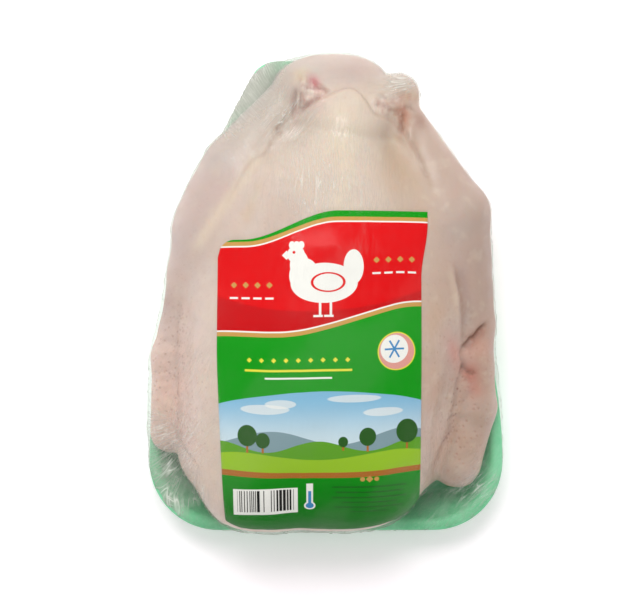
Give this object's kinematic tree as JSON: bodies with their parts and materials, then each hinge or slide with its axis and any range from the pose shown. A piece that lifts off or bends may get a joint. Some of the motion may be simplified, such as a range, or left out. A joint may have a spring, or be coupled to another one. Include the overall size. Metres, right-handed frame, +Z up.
{
  "type": "wrapped whole raw chicken",
  "caption": "Whole raw chicken lying breast up on a tapered foam tray, sealed in tight clear film with a printed label over the breast.",
  "frame": {"origin": "middle of the tray's flat base, on the surface that the pack stands on", "axes": "+Z up out of the breast, +Y along the tray towards the legs and tail, +X to the right of someone looking down with the legs pointing away"},
  "size_m": [0.1684, 0.226, 0.0892],
  "materials": {
    "foam": "mint green polystyrene foam with a soft satin skin",
    "skin": "pale raw chicken skin seen through tight glossy clear film",
    "film": "thin clear stretch film, glossy, finely wrinkled",
    "print": "printed sheet in red, green, gold and sky blue fields"
  },
  "bodies": {
    "root": {"tray": "foam", "wrapped_chicken": "skin", "label": "print"}
  },
  "joints": []
}
